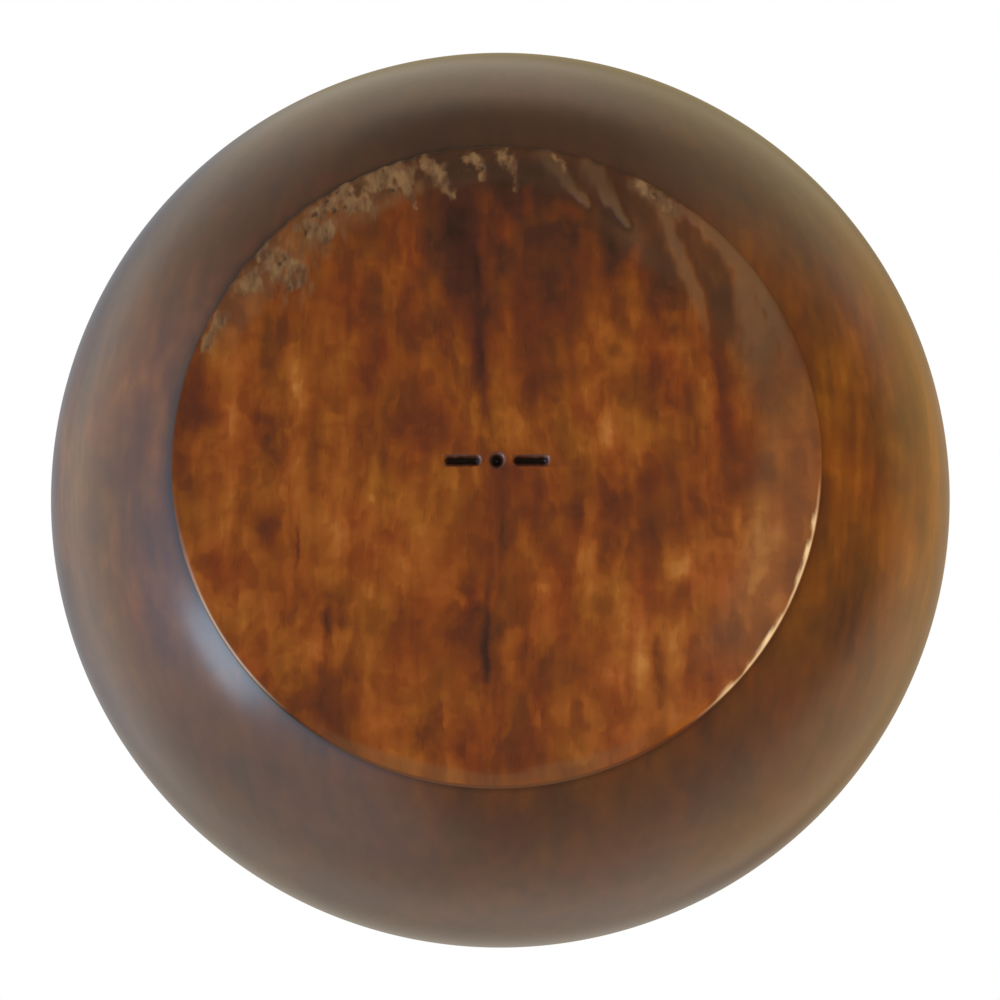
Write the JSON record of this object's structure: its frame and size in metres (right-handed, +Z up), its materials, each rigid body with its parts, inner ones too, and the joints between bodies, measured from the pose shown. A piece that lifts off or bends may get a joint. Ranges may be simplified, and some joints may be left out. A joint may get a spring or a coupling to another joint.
{
  "type": "lidded wooden bowl",
  "caption": "Squat round turned hardwood bowl on a low foot, with a domed lift-off lid located by a spigot and lifted by a turned knob.",
  "frame": {"origin": "centre of the foot's underside, which rests on the table", "axes": "+Z up through the knob, +Y along the grain of the bowl and the lid"},
  "size_m": [0.16, 0.16, 0.1195],
  "materials": {
    "bowl_wood": "satin varnished side-grain hardwood",
    "lid_wood": "satin varnished side-grain hardwood",
    "knob_wood": "satin varnished hardwood, grain upright",
    "wedge_wood": "bare pale hardwood"
  },
  "bodies": {
    "bowl": {"bowl": "bowl_wood"},
    "lid": {"lid": "lid_wood", "knob": "knob_wood", "tenon_wedge": "wedge_wood"}
  },
  "joints": [
    {"name": "lid_lift", "type": "slide", "parent": "bowl", "child": "lid", "axis": [0, 0, 1], "range_m": [0, 0.11]}
  ]
}
